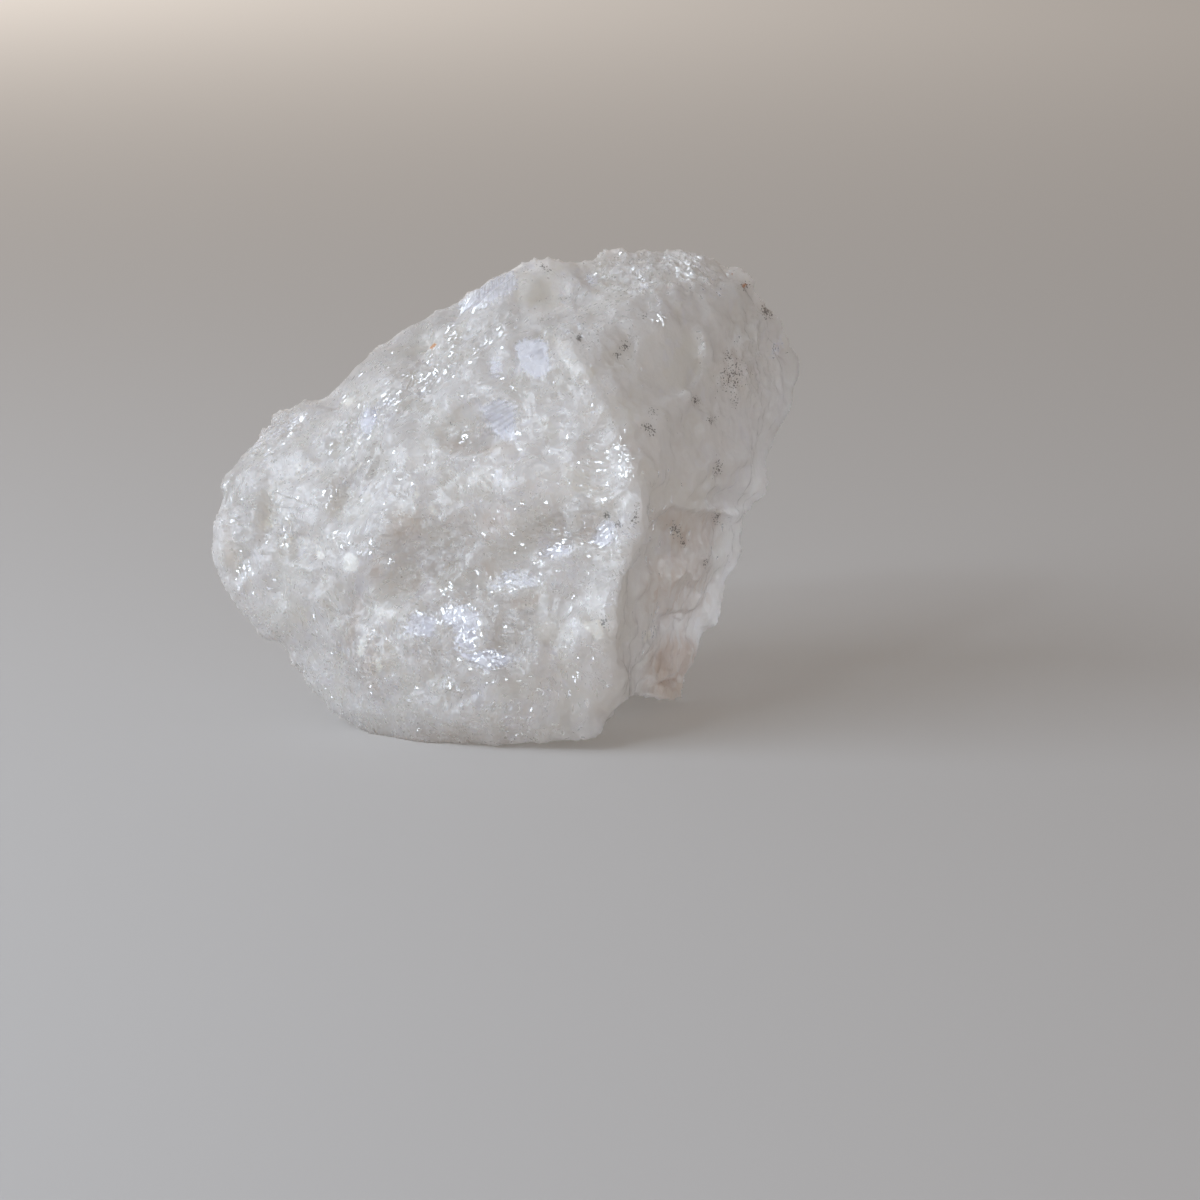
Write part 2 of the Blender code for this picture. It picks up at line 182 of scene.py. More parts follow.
def oval(x, y, halfAlong, halfAcross, turn=0, **more):
    # mm in the photograph's view, turned by degrees from level
    return {"at": (x, y), "half": (halfAlong, halfAcross), "turn": turn, **more}


def shape(corners, **more):
    return {"corners": corners, **more}


def ledge(height, width, line):
    return {"height": height, "width": width, "line": line}


def patches(spots, wobble, places):
    total = np.zeros(len(spots))
    for place in places:
        total = np.maximum(total, patch(spots, wobble, place))
    return total


# soft light from the left, as through a window
light = {
    "away": 0.50,  # m from the origin to each box
    "boxes": {
        # degrees from straight left towards the front, degrees up, width, height, radiance, colour
        "window": (20, 29, 0.42, 0.30, 4.8, (0.78, 0.87, 0.99)),
        "glint": (52, 42, 0.05, 0.05, 26.0, (0.80, 0.90, 1.0)),
        "fill": (110, 10, 0.60, 0.16, 1.1, (1.0, 0.93, 0.88)),  # low, so that the paper gets little of it
    },
    "target": (0, 0, 0.03),
    # from behind on the far part of the paper: place, target, width, height, radiance, colour
    "farFloor": ((-0.9, 1.5, 0.9), (-0.3, 1.3, 0), 0.8, 0.8, 10.5, (1.0, 0.9, 0.8)),
    "room": (1.0, 0.90, 0.84),
    "roomStrength": 0.27,
}


def lightPlace(name):
    azimuth, height = (math.radians(angle) for angle in light["boxes"][name][:2])
    return light["away"] * np.array((
        -math.cos(height) * math.cos(azimuth), -math.cos(height) * math.sin(azimuth), math.sin(height)))


def unit(vectors):
    return vectors / np.linalg.norm(vectors, axis=-1, keepdims=True)


def mirrorAt(places, name):
    # which way a small face looks that mirrors that light to the photograph's view
    return unit(unit(lightPlace(name) / mm - places) + unit(eye - places))


faces = {  # outlines that more than one finish follows
    "dome": [(1.5, 27.6), (4.5, 30.6), (7, 30.4), (8.9, 28.3), (8.6, 25.1), (8.9, 23.6), (6.4, 22.9), (3.3, 22),
        (1.5, 25.1)],
    "leftSheet": [(-17.1, 12), (-15.8, 11.4), (-16, 9.5), (-16.8, 7.9), (-17.9, 8.1), (-18.3, 9.9)],
    "lowSheet": [(-7.4, -13), (-4.9, -13), (-3, -13.9), (-2.8, -16.1), (-3.6, -19.3), (-6.1, -18.6),
        (-6.5, -16.1), (-8.4, -15.1)],
    "lowEdge": [(-6.5, -18.3), (-4.3, -19.3), (-1.8, -18.6), (2, -19.9), (-0.5, -20.9), (-2, -21.5),
        (-4.5, -20.1)],
    "ridgeSheet": [(11.8, -3.4), (13.5, -2.4), (14.1, -4.9), (12.6, -6), (10.5, -5.5)],
    "tipCrust": [(-27.8, -1.3), (-26.6, -1.8), (-26.1, -3.4), (-26.3, -4.9), (-27.1, -6.1), (-28, -5.5),
        (-27.3, -3.6)],
}

# the stone: sizes in mm, places in the photograph's view
stone = {
    "voxel": 0.25,
    "smoothing": 2,
    "base": 0.15,  # height below which the base stays flat
    "ragged": 0.48,  # how far the edges of the patches below wander
    "rim": (0.12, 0.3),  # the share of the relief left on the outline of the view, and the slope it is whole from
    "calm": (0.85, 0.7, 0.6),  # on smooth places: share of flakes lost, the sheen's part in that, steps lost
    "triangles": 190000,
    "sharpFrom": 24,  # degrees between faces that makes an edge crisp
    "flakes": [  # size, lean, bowl, share everywhere, share on rough places
        (3.4, 0.5, 1.3, 0.13, 0.06),
        (1.6, 0.5, 1.3, 0.14, 0.22),
        (0.8, 0.5, 1.3, 0.14, 0.36),
    ],
    "steps": [  # broken in small steps that climb one way or ring a middle
        oval(-11.5, 15, 12.5, 2.2, 36, spacing=0.8, height=0.12, way=126),
        oval(-27.6, 8.9, 4.2, 2, 40, spacing=1.1, height=0.22, way=130),
        oval(-0.3, 10.6, 2.8, 2.4, 20, spacing=0.95, height=0.24, way=65),
        oval(-4, 6.4, 4.6, 1.6, -8, spacing=1.3, height=0.12, way=100),
        oval(11.8, 3.4, 3, 4.6, -10, spacing=0.75, height=0.2, wander=0.2, ring=(12, 8.4)),
        oval(8, 14.6, 3, 6.4, 28, spacing=1.2, height=0.14, way=200),
        oval(-17.8, 3.6, 3.4, 5, -20, spacing=1, height=0.16, way=150),
        oval(-28.2, -1.6, 4, 3.4, spacing=1.2, height=0.16, ring=(-24, 4)),
        oval(-10, -6, 7.6, 4.2, spacing=1.4, height=0.16, way=-70),
        oval(-5, -15.6, 8.4, 4.2, -10, spacing=1.15, height=0.26, ring=(-2.5, -24)),
        oval(7.5, -3.2, 6, 2.2, 8, spacing=1, height=0.18, way=80),
        oval(6.4, -14.6, 4.4, 6, spacing=1.6, height=0.10, way=10),
        oval(-18, -19.6, 3.2, 5.2, 14, spacing=1.1, height=0.18, way=160),
        oval(-4.6, -25.8, 8.4, 3.2, -4, spacing=1.5, height=0.12, way=-60),
        oval(18.4, 27.8, 8.6, 3.2, -4, spacing=1.2, height=0.2, way=75),
        oval(30.4, 15.4, 3.8, 8, -14, spacing=1.3, height=0.06, way=10),
        oval(24, 4.2, 6.4, 6.4, spacing=1.5, height=0.04, way=4),
        oval(24, -6.6, 5.6, 4.6, spacing=1.1, height=0.07, way=12),
        oval(20.6, -15.6, 4, 6.6, -14, spacing=1.2, height=0.06, way=20),
        oval(13, 17.6, 2.6, 7.4, 30, spacing=1.3, height=0.06, way=20),
    ],
    "stepEdge": 2.0,
    "wander": 1.5,  # mm that the steps wander
    "ledges": [  # sharp drops: height, width and line, with the high side on the left along it
        ledge(0.8, 1.4, [(1.5, 7), (0.1, 6.6), (-1.8, 6.1), (-3.2, 5.5), (-4.9, 5.5), (-6.8, 5.9),
            (-8.8, 7.2)]),
        ledge(0.35, 1.2, [(-8.8, 7.6), (-7.4, 9.4), (-5.4, 11.6), (-2.4, 12.9), (0.4, 12.4), (1.6, 10.6)]),
        ledge(0.3, 0.8, [(-20.1, 3), (-19.1, 4.8), (-18.4, 6.9)]),
        ledge(0.3, 0.8, [(-20.1, 3), (-18.6, 3.6), (-17.2, 4.9)]),
        ledge(0.3, 0.9, [(-17.8, 0.1), (-17, 2.2), (-16.2, 4.2)]),
        ledge(-0.4, 1.2, [(-21.6, 2.3), (-20.6, 0.4), (-22, -1.3)]),
        ledge(-0.3, 1.2, [(-26.1, -3.4), (-26.3, -4.9), (-27.1, -6.1)]),
        ledge(0.35, 2.2, [(-33, -6.8), (-27, -6.4), (-22.8, -7.6), (-19.8, -10.5), (-20.6, -14.2),
            (-21.8, -17.4)]),
        ledge(-0.35, 1.2, [(-13.3, -13.1), (-12.8, -13.9), (-14.5, -16.1), (-16.5, -15.9)]),
        ledge(-0.7, 1.6, [(-12.8, -16.4), (-10, -17.2), (-8.2, -17.6), (-6.5, -18.4), (-4.3, -20.1),
            (-1.8, -21.5), (0.1, -20.8), (2.3, -19.9)]),
        ledge(0.4, 1.4, [(-11.6, -12.8), (-8, -12.2), (-4.4, -12.6), (-2.4, -14)]),
        ledge(0.45, 1.2, [(-2.6, -11.4), (0.8, -11.3), (4.6, -11.3)]),
        ledge(0.3, 0.5, [(0.8, -13.7), (3.6, -12.9)]),
        ledge(-0.35, 0.9, [(9.9, -15.4), (11.8, -15), (12.5, -17), (11.6, -17.5)]),
        ledge(0.45, 1, [(13, 6.6), (13.4, 3.9), (14.8, 2.4), (16, 2)]),
        ledge(-0.4, 1, [(16.9, 5.2), (16.6, 3), (15.4, 1), (13, -0.6), (10.2, 0.6), (9.2, 2.6)]),
        ledge(-0.3, 1.4, [(5.4, 21), (6.4, 18.3), (8.3, 15.8), (10.1, 14.5), (12, 13.9)]),
        ledge(-0.35, 1.6, [(8.9, 28.6), (8.6, 25.1), (9, 23.4), (6.4, 22.8)]),
        ledge(-0.4, 1.2, [(1.6, 28.8), (1.5, 26.4), (1.5, 24.6)]),
        ledge(0.45, 1.6, [(23.3, 21.4), (24.6, 19.5), (24.6, 17), (23.5, 14.1), (21.8, 12.9), (18.4, 12.6)]),
        ledge(-0.3, 1.4, [(16.6, 14.6), (16, 17.4), (17, 20.4), (19.4, 22)]),
        ledge(0.4, 1.2, [(13.4, 12.8), (14.8, 12.4), (16, 11.4), (16.4, 9.2)]),
        ledge(-0.5, 1.8, [(27.3, -0.8), (24.5, -1.9), (23.3, -1.3), (20.5, -0.8), (18.9, -2), (18.4, -4.8)]),
        ledge(0.45, 1, [(18.9, -13.3), (18.5, -14.9), (18, -17.4), (17.4, -18.3)]),
        ledge(0.25, 1.2, [(20, -7), (19.4, -10), (20.4, -13)]),
        ledge(-0.4, 1.2, [(10.5, -5.6), (12.6, -6.1), (14.1, -4.9), (13.6, -2.6)]),
        ledge(-0.3, 1.2, [(4.4, -7.6), (8, -6.6), (10.2, -5)]),
        ledge(0.35, 1.4, [(12, 28), (16.6, 26.6), (20.6, 27.4), (25, 26.4)]),
        ledge(0.25, 1.6, [(-13.6, 2), (-11.8, 0.2), (-9.6, 1.2), (-6.8, 2.6)]),
    ],
    "ledgeSlope": 0.3,  # mm across that a ledge takes to drop
    "ledgeWander": 0.25,
    "ledgeEnds": 0.12,  # share of its length over which a ledge rises and dies
    "swells": [  # broad rises over the solid
        oval(-31, -0.6, 1.5, 4.4, height=0.5),
        oval(4, 26, 2.2, 2.2, height=0.4),
        oval(-28.6, 9.8, 3.4, 1.4, 40, height=0.5),
    ],
    "hiddenSteps": (1.5, 0.08, 11.0),  # spacing, height and how far they swing where the photograph shows nothing
    "noise": {  # mm across, layers, and the place in the noise
        "patchEdges": (2.0, 3, 0.0),
        "stepEdges": (1.6, 2, 0.0),
        "ledgeEdges": (1.2, 2, 3.0),
        "wander": (5.0, 3, 17.0),
        "hiddenSteps": (13.0, 3, 23.0),
        "hiddenPlaces": (10.0, 2, 29.0),
        "veils": (5.0, 4, 31.0),
    },
    "warp": (0.8, 3.0, 2),  # mm that the patches of one grain are bent, over how many mm, layers
    "grainPatch": 3.2,
    "smooth": [  # flats and dishes with little grain
        shape(faces["dome"]),
        shape([(17.6, 21.4), (20.1, 22), (23.3, 21.4), (24.5, 19.5), (24.3, 17), (23.3, 14.3), (21.8, 13.1),
            (18.9, 12.9), (16.8, 15)]),
        oval(-13.8, 19.3, 9.5, 1.5, 33),
        oval(-27, -13, 6.2, 3.4, -50),
        oval(9.5, -12.4, 2.6, 5),
        oval(8.5, -24.5, 6, 4),
        oval(-10.6, 6.4, 1.8, 3, 15),
    ],
    "rough": [  # hackly, with many small broken faces
        oval(-11.1, 14.6, 11.5, 2.2, 36),
        oval(-27.4, 8.9, 3.8, 1.7, 38),
        oval(-17.6, 10.2, 2.6, 2, 20),
        oval(-0.7, 10, 2.4, 2.2, 20),
        oval(-21.8, 0.9, 1.3, 1.5),
        oval(-27.4, -4.1, 1.8, 1.6),
        oval(-4, -16.4, 8.5, 4.6, -8),
        oval(-6.6, -23.4, 1.8, 1.2),
        oval(19.5, 28.4, 8, 3, -5),
        oval(12.9, -3.4, 1.7, 1.8),
        oval(7.5, -2.8, 3.6, 1.6, 10),
        oval(-10.5, -5.5, 7, 4.4, amount=0.7),
        oval(31, 18, 2.6, 6, amount=0.8),
    ],
    "sheen": [  # larger broken faces that lie square to the window, with a painted bluish reflection laid into their colour
        shape([(1.4, 19.3), (2.6, 20.1), (4.5, 20.5), (5.4, 19.5), (5.5, 17.6), (6, 16.4), (4.5, 15.4),
            (2.9, 15.8), (1.8, 17)]),
        oval(-1.1, 16.6, 0.9, 1.4, amount=0.8),
        shape([(-6.1, 25.1), (-4.3, 26.8), (-0.5, 28.3), (1.4, 29.6), (1.5, 26.4), (-0.5, 25.4), (-1.8, 24.5),
            (-5.3, 23.3)]),
        shape([(-3, 11.6), (-0.6, 12.6), (1.4, 12), (1.2, 10), (1.6, 7.4), (-0.2, 7.6), (-2.2, 9.6)]),
        shape([(-0.3, -8.6), (1.4, -8.4), (3.3, -9), (4.8, -9.5), (4.5, -11.1), (-0.5, -11.3), (-2.1, -11.3)],
            amount=0.6),
        shape([(-30.5, 7.9), (-30.2, 7.2), (-31.5, 6.4), (-32.2, 6.9)], ragged=0.3),
        shape(faces["leftSheet"], amount=0.9),
        shape([(-12, -14.3), (-10.5, -14), (-8.4, -15.1), (-8.8, -17.1), (-9.9, -17), (-12.5, -16.6)]),
        shape(faces["lowSheet"], amount=0.8),
        shape(faces["lowEdge"]),
        shape(faces["ridgeSheet"]),
        oval(6.6, -6.4, 2.6, 0.9, 6, amount=0.8),
        oval(34, 18.9, 0.6, 1.1, -20),
        oval(17.8, 26.8, 0.8, 0.9, amount=0.6),
        oval(10.9, 27.4, 0.9, 1, amount=0.6),
        oval(27, 25.8, 0.9, 0.8, amount=0.6),
    ],
    "glints": [  # small broken faces that mirror the light, with some painted bluish reflection in their colour: the share of them, and the way they are drawn out
        oval(-4, -4, 30, 26, 40, amount=0.035, edge=4),
        oval(-11.1, 14.3, 12, 1.9, 36, amount=0.30, way=36, edge=2),
        oval(-27.4, 9.1, 2.4, 0.4, 35, amount=2.4, way=35, edge=0.6, ragged=0.2),
        oval(-28.8, 9.5, 1.8, 0.4, 45, amount=2.2, way=45, edge=0.6, ragged=0.2),
        oval(-28, 9.2, 3.2, 1.4, 38, amount=0.3, way=38),
        oval(-30.4, 6.1, 2.2, 0.7, 8, amount=0.5, way=10),
        oval(-34.8, 2.2, 0.8, 1, amount=0.3),
        shape([(-0.9, 21.8), (-0.1, 21.8), (0.3, 20.4), (-1.3, 20.4)], amount=1.1, way=60, edge=0.8,
            ragged=0.3),
        oval(-19.9, 12.2, 1.4, 0.6, 30, amount=0.4, way=30),
        shape(faces["leftSheet"], amount=0.3, way=70),
        shape([(-19.9, 10.5), (-19.3, 9.5), (-20.1, 8), (-21.3, 8.6), (-21, 9.5)], amount=0.6, way=50),
        oval(-6.8, 20.8, 1, 1.4, 30, amount=0.5, way=60),
        oval(-6.3, 16.9, 1.1, 1.4, amount=0.45, way=60),
        oval(-9.4, 15.8, 1.4, 1, amount=0.35),
        shape([(-5.3, 25.6), (-1.8, 26.6), (-1.6, 24.6), (-5.3, 23.3)], amount=1, way=60),
        oval(-0.4, 11.3, 1.6, 1.2, 20, amount=1.2, way=20),
        oval(1.3, 8.2, 0.8, 1, 30, amount=0.5, way=120),
        oval(-5, 8.6, 0.5, 0.7, amount=0.5),
        oval(-2.9, 14.2, 0.5, 0.4, amount=0.9, edge=0.6),
        shape([(-21.6, 2.3), (-20.6, 0.4), (-22, -1.3), (-22.8, 0.1), (-22, 1.4)], amount=0.7, way=60,
            ragged=0.4),
        shape(faces["tipCrust"], amount=0.5, way=80),
        oval(-20, -4.8, 0.8, 0.5, -40, amount=0.6),
        oval(-17.2, -6.6, 0.6, 1.4, -30, amount=0.45, way=60),
        oval(22.2, 29, 1.6, 1, -30, amount=0.6, way=150),
        oval(21, 30.4, 0.7, 0.5, amount=0.8),
        oval(19.4, 22.9, 1.2, 0.5, -15, amount=0.8, way=-15, edge=0.8),
        oval(9.6, 25.6, 0.4, 0.4, amount=1, edge=0.6),
        oval(20, 28.9, 8.4, 2.8, amount=0.14, edge=2),
        oval(17, 28, 0.4, 0.4, amount=0.8),
        oval(11.8, 3.6, 2.6, 4.4, -10, amount=0.18, way=0),
        shape([(13.8, 6.8), (14.8, 7), (16.1, 4.9), (16.4, 3.3), (15.5, 2.6), (14.5, 3.9)], amount=0.7, way=120,
            ragged=0.4),
        shape(faces["ridgeSheet"], amount=0.35, way=50),
        oval(9, -4.6, 1.6, 0.5, -14, amount=0.7, way=-14),
        oval(5.6, -6, 4, 1, 10, amount=0.3, way=10),
        oval(4.5, -7.8, 0.6, 0.35, amount=0.9, edge=0.6),
        oval(0.6, -11.2, 0.9, 0.3, 4, amount=1.2, way=4, edge=0.6, ragged=0.2),
        oval(-6.8, -11.4, 1, 0.8, -50, amount=0.7, way=-50),
        oval(-2.6, -10, 1.6, 1.4, amount=0.2),
        oval(-10.2, -14.4, 1.2, 0.35, -18, amount=1.1, way=-18, edge=0.6, ragged=0.3),
        oval(-10, -16.4, 2, 0.9, amount=0.35),
        shape(faces["lowSheet"], amount=0.42, way=100),
        shape(faces["lowEdge"], amount=0.65, way=20),
        oval(-7.1, -23, 0.5, 0.5, amount=0.9, edge=0.6, ragged=0.3),
        oval(-5.5, -23.7, 0.5, 0.5, amount=0.9, edge=0.6, ragged=0.3),
        oval(-18, -25.5, 0.4, 0.5, amount=1, edge=0.5, ragged=0.3),
        oval(-32.6, -9.6, 1.2, 2.4, amount=0.3, way=110),
        oval(-33.6, -2.4, 2, 4.6, amount=0.10),
        oval(2, -20, 12, 8, amount=0.05, edge=4),
        oval(3, 1.6, 6, 2.4, amount=0.08, edge=2),
        oval(27, -8, 1.4, 6, amount=0.06),
        oval(-16.8, 1.6, 1.1, 2.2, -20, amount=0.12, way=30),
        oval(18.4, -3.4, 0.3, 1.6, amount=0.8, way=90, edge=0.5, ragged=0.2),
        oval(18.2, -16.4, 0.5, 2, -14, amount=0.25, way=80),
    ],
    "milk": [  # milky white to cream
        shape([(5.5, 20.8), (8.9, 19.5), (10.8, 17), (13, 14.5), (13.8, 12.4), (12, 13.9), (10.1, 14.5),
            (8.3, 15.8), (6.4, 18.3)]),
        shape([(14.8, 12.6), (16, 11.6), (16.3, 9.5), (15.8, 8.9), (15.4, 10.8)], amount=0.9),
        oval(10.6, 11, 1.8, 2.8, 10, amount=0.7),
        oval(11.8, 3.2, 2.8, 4, -10, amount=0.7),
        shape([(2.6, 3.9), (5.1, 4.1), (7, 5.1), (8.9, 4.9), (9.5, 2.6), (10.1, 0.1), (7, -0.5), (4.5, 0.1),
            (3.3, 1.4)], amount=0.75),
        shape(faces["dome"], amount=0.9),
        oval(20.4, 17.6, 4.2, 4.4, amount=0.8),
        oval(-10.8, 5.4, 1.4, 2.6, 15, amount=0.6),
        oval(-5, -16.6, 4, 3.6, -30, amount=0.5),
        shape([(-16.5, -13.4), (-14.9, -12.8), (-13.3, -13.1), (-12.8, -13.9), (-14.5, -16.1), (-16.5, -15.9)],
            amount=0.7),
        oval(-24.6, -12, 5, 4, -50, amount=0.4),
        oval(4.6, -15.6, 1.8, 1.8, amount=0.6),
        oval(-26.6, 3.4, 3, 1.2, -25, amount=0.4),
    ],
    "chips": [  # opaque cream
        oval(-22.9, -6.9, 0.7, 0.45, -20),
        shape([(-19.9, -6.4), (-18.3, -7.1), (-18, -8), (-18.9, -9.5), (-19.9, -8.6), (-20.4, -7.4)],
            amount=0.9),
        shape([(-9.9, -0.2), (-9, -0.4), (-8.4, -1.7), (-9.3, -1.5)]),
        oval(-15.6, -20.8, 0.35, 1, 8),
        oval(-17.6, -17.8, 0.3, 1.2, -16),
        oval(2.2, -13.3, 1.5, 0.3, 17),
        shape([(9.9, -15.4), (11.8, -15), (12.5, -17), (11.6, -17.5)]),
        oval(-19.4, 12.4, 0.7, 0.4, 20),
        oval(-10.9, 0.6, 0.5, 0.6),
        oval(-26, 4.2, 0.9, 0.3, -40),
        oval(-19, 5.6, 1.4, 0.16, 66),
        oval(-18.4, 4, 1.5, 0.16, 36),
        oval(18, -17, 0.4, 0.9, -14, amount=0.9),
    ],
    "clear": [  # glassy, brown grey from within
        oval(-8, -6.5, 8.5, 5, 4, edge=3, amount=0.4),
        oval(-17.6, -18.5, 2.4, 5.6, 12, edge=2.4),
        oval(-33.4, -0.6, 2.4, 6, edge=2.6),
        oval(-8, -30, 14, 2, -6, edge=2.4),
        oval(2.6, -12.8, 2.2, 1, edge=1.4),
        oval(-17.4, 4, 2, 4, -30, edge=1.8, amount=0.7),
        oval(-12, 20, 9, 1.3, 33, edge=1.2),
        oval(-4.4, 7.2, 3.4, 1, -4, edge=1.2),
    ],
    "ribs": [
        shape([(-5.4, 27), (-0.5, 28.6), (1.4, 29.6), (1.5, 26.4), (-0.5, 25.4), (-3, 25.2)]),
    ],
    "bars": [
        shape([(-2.2, 12.6), (1.2, 12.2), (1.6, 9.4), (-0.4, 8.6), (-2.4, 10.4)]),
        oval(-29, 9.2, 3.4, 1.3, 42),
    ],
    "feathers": [
        oval(-16.8, 1.8, 1.2, 2.4, -20),
        oval(-17.2, -18.8, 2.2, 3.6, 10),
        oval(0, 3.2, 3.6, 1.8, 20),
    ],
    "crust": [  # lacy, cream
        shape([(-25.9, -4.5), (-23.3, -3), (-22.4, -4), (-20.3, -5.3), (-20.8, -6.1), (-22.4, -7.1),
            (-23.6, -7), (-24.5, -6.4), (-25.8, -5.9)]),
        shape(faces["tipCrust"]),
        oval(-29.6, -3, 1.6, 0.8, 20, amount=0.9),
        oval(-31.8, -3.6, 1.2, 0.5, -30, amount=0.9),
        oval(-24.6, 4.4, 2.4, 0.6, -30, amount=0.8),
    ],
    "soot": [  # dark specks
        oval(18, 9.1, 0.4, 0.3),
        oval(18.6, 8.6, 0.35, 0.3),
        oval(14.2, 18.1, 0.4, 0.4),
        oval(15, 19.2, 0.8, 0.5, 40, amount=0.7),
        oval(9.4, 20.3, 0.3, 0.3),
        oval(12.9, -2, 0.6, 0.4, -40, amount=0.8),
        oval(14.4, -3.1, 0.35, 0.35),
        oval(16.3, -2.4, 0.3, 0.9, -10),
        oval(21.4, -3.8, 0.4, 0.8, 20),
        oval(22.4, -5.4, 0.3, 0.35),
        oval(26.7, -2, 0.3, 0.6, amount=0.9),
        oval(23.9, 12.4, 0.5, 0.35),
        oval(18.6, 11, 0.3, 0.3),
        oval(28.9, 12.6, 0.4, 0.8, amount=0.85),
        oval(25.8, 10, 0.7, 0.5, amount=0.75),
        oval(26.8, 3.8, 0.3, 0.8, -10),
        oval(28.6, 15.6, 2, 2.6, -20, amount=0.52, edge=3),
        oval(28, 18, 0.5, 0.6, amount=0.8),
        oval(32.8, 23.6, 0.6, 0.9, 20),
        oval(30.1, 26.7, 0.6, 0.4, 20),
        oval(5.2, 29, 0.5, 0.25, -20),
        oval(8, 25.1, 0.8, 0.16),
        oval(17.6, 23.1, 0.35, 0.3),
        oval(9.1, -9.8, 0.3, 0.25),
        oval(12.6, -15.2, 0.25, 0.3),
        oval(-6.7, 9.3, 0.2, 0.2),
        oval(25.2, -7.8, 0.25, 0.5, amount=0.85),
    ],
    "rust": [
        oval(28.6, 28.2, 0.5, 0.4, edge=0.5),
        oval(-8.8, 19.3, 0.5, 0.25, 20, edge=0.6, amount=0.8),
        oval(30.2, 26.9, 0.5, 0.4, edge=0.6, amount=0.8),
    ],
    "unseenSize": 11.0,
    "unseen": {  # where in the noise each finish lies, and from what height
        "smooth": (0.0, 0.1), "rough": (2.7, 0.05), "milk": (5.4, 0.25),
        "clear": (8.1, 0.1), "crust": (10.8, 0.5), "brown": (13.5, 0.15),
    },
    "brown": [  # warm and dim, most of it from within; some is painted shade under a step on the right face, in the pit's lower lip and along the bottom edge
        oval(-9, -5.5, 7.5, 4.6, edge=3, amount=0.15),
        oval(-12.6, -3.1, 2.4, 2, edge=2, amount=0.8),
        oval(-1, -2.6, 2.4, 2.2, edge=2, amount=0.8),
        oval(-10.5, -10.8, 3, 1.4, edge=2, amount=0.7),
        oval(-15.8, -8.6, 1, 1.4, amount=0.8),
        oval(-1.8, -8.6, 1.4, 1.2, amount=0.8),
        shape([(0.1, -11.9), (4.8, -11.6), (4, -13.1), (1, -14.1)]),
        shape([(-18.4, -12.1), (-17.8, -12.4), (-18, -15.5), (-19, -17.4), (-20.1, -18.9), (-19.5, -16.1)]),
        shape([(-17, -17.4), (-16.1, -18.6), (-15.8, -23.6), (-17, -23.6), (-17.8, -20.5)]),
        shape([(-15.1, -17.4), (-14.3, -18.6), (-14.5, -22.4), (-15, -20.5)]),
        # painted shade in the dark band under the step on the right face
        shape([(18.9, -1.8), (20.5, -0.9), (27.3, -1.4), (26.8, -5.5), (23.3, -7.4), (20.1, -5.5)], edge=2),
        oval(21.2, -21.4, 3.2, 4.6, -10, edge=2.4, amount=2.2),
        oval(22, -11, 4.4, 5, -12, edge=3, amount=1.1),
        oval(-34.3, -4.5, 0.9, 2.8, amount=0.8),
        # painted shade in the recess along the pit's lower lip
        shape([(-3.6, 5.8), (-1.8, 6.9), (1.2, 7.5), (-0.3, 6.3)]),
        oval(-6.2, 6.6, 1.8, 0.8, amount=0.7),
        # painted shade along the bottom edge, next to the floor
        oval(-6, -31, 14, 1.6, -6, edge=2),
        shape([(26.8, 19.5), (29.5, 18.9), (31.8, 15.8), (30.1, 13.6), (27.3, 13.9), (25.8, 16.4)], edge=2,
            amount=0.5),
    ],
}


def meshArrays(mesh):
    places = np.empty(len(mesh.vertices) * 3, np.float32)
    mesh.vertices.foreach_get("co", places)
    normals = np.empty(len(mesh.vertices) * 3, np.float32)
    mesh.vertex_normals.foreach_get("vector", normals)
    return places.reshape(-1, 3).astype(float), normals.reshape(-1, 3).astype(float)


def setPlaces(mesh, places):
    mesh.vertices.foreach_set("co", places.astype(np.float32).ravel())
    mesh.update()


def smoothed(mesh, places, passes, share=0.5):
    edges = np.empty(len(mesh.edges) * 2, np.int32)
    mesh.edges.foreach_get("vertices", edges)
    first, second = edges.reshape(-1, 2).T
    count = np.bincount(edges, minlength=len(places))[:, None]
    for _ in range(passes):
        total = np.zeros_like(places)
        np.add.at(total, first, places[second])
        np.add.at(total, second, places[first])
        places = places + share * (total / count - places)
    return places


def setNumbers(mesh, name, values):
    wide = values.ndim > 1
    made = mesh.attributes.new(name, "FLOAT_VECTOR" if wide else "FLOAT", "POINT")
    made.data.foreach_set("vector" if wide else "value", values.astype(np.float32).ravel())


def applied(made, kind, settings):
    modifier = made.modifiers.new(kind, kind)
    for name, value in settings.items():
        setattr(modifier, name, value)
    depsgraph = bpy.context.evaluated_depsgraph_get()
    mesh = bpy.data.meshes.new_from_object(made.evaluated_get(depsgraph))
    made.modifiers.clear()
    made.data = mesh
    return mesh


def noiseAt(places, name):
    return layeredNoise(places, *stone["noise"][name])


def masksAt(places, normals, names):
    # how much of each finish there is at each place
    spots = shownAt(places)
    facing = facingAt(normals)
    wobble = noiseAt(places, "patchEdges") * stone["ragged"]
    masks = {name: patches(spots, wobble, stone[name]) * facing for name in names}
    # where the photograph doesn't show the stone, the same finishes lie at random
    for name, (shift, cut) in stone["unseen"].items():
        if name in masks:
            wild = smoothStep(layeredNoise(places, stone["unseenSize"], 3, shift), cut, cut + 0.25)
            masks[name] = np.maximum(masks[name], wild * (1 - facing))
    return masks


